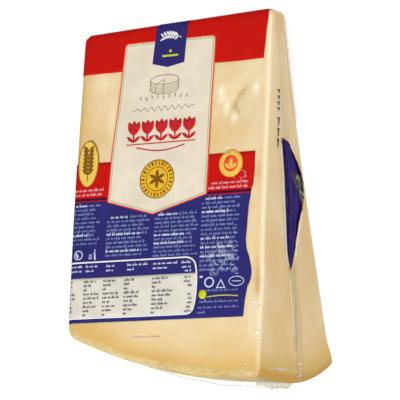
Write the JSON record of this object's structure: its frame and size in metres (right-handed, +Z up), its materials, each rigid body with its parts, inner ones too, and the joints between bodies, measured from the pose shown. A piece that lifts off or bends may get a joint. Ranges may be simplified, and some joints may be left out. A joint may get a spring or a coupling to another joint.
{
  "type": "sealed wedge of hard cheese",
  "caption": "Wedge cut from half a wheel of hard grating cheese, with its rind heel, vacuum-sealed in a clear printed film bag.",
  "frame": {"origin": "middle of the base's box, on the surface that the back cut face lies on", "axes": "+Y along the wedge towards its tip, +X towards the cut made at half the wheel's height, +Z up through the printed cut face"},
  "size_m": [0.1016, 0.179, 0.0897],
  "materials": {
    "clear_film": "clear glossy vacuum film, drawn tight over the cheese",
    "cheese": "pale golden, fine-grained cut cheese, deeper gold towards the rind",
    "print": "flat fields of dark blue, red, cream and gold ink on the film's inner side"
  },
  "bodies": {
    "root": {"sealed_cheese_wedge": "clear_film"}
  },
  "joints": []
}
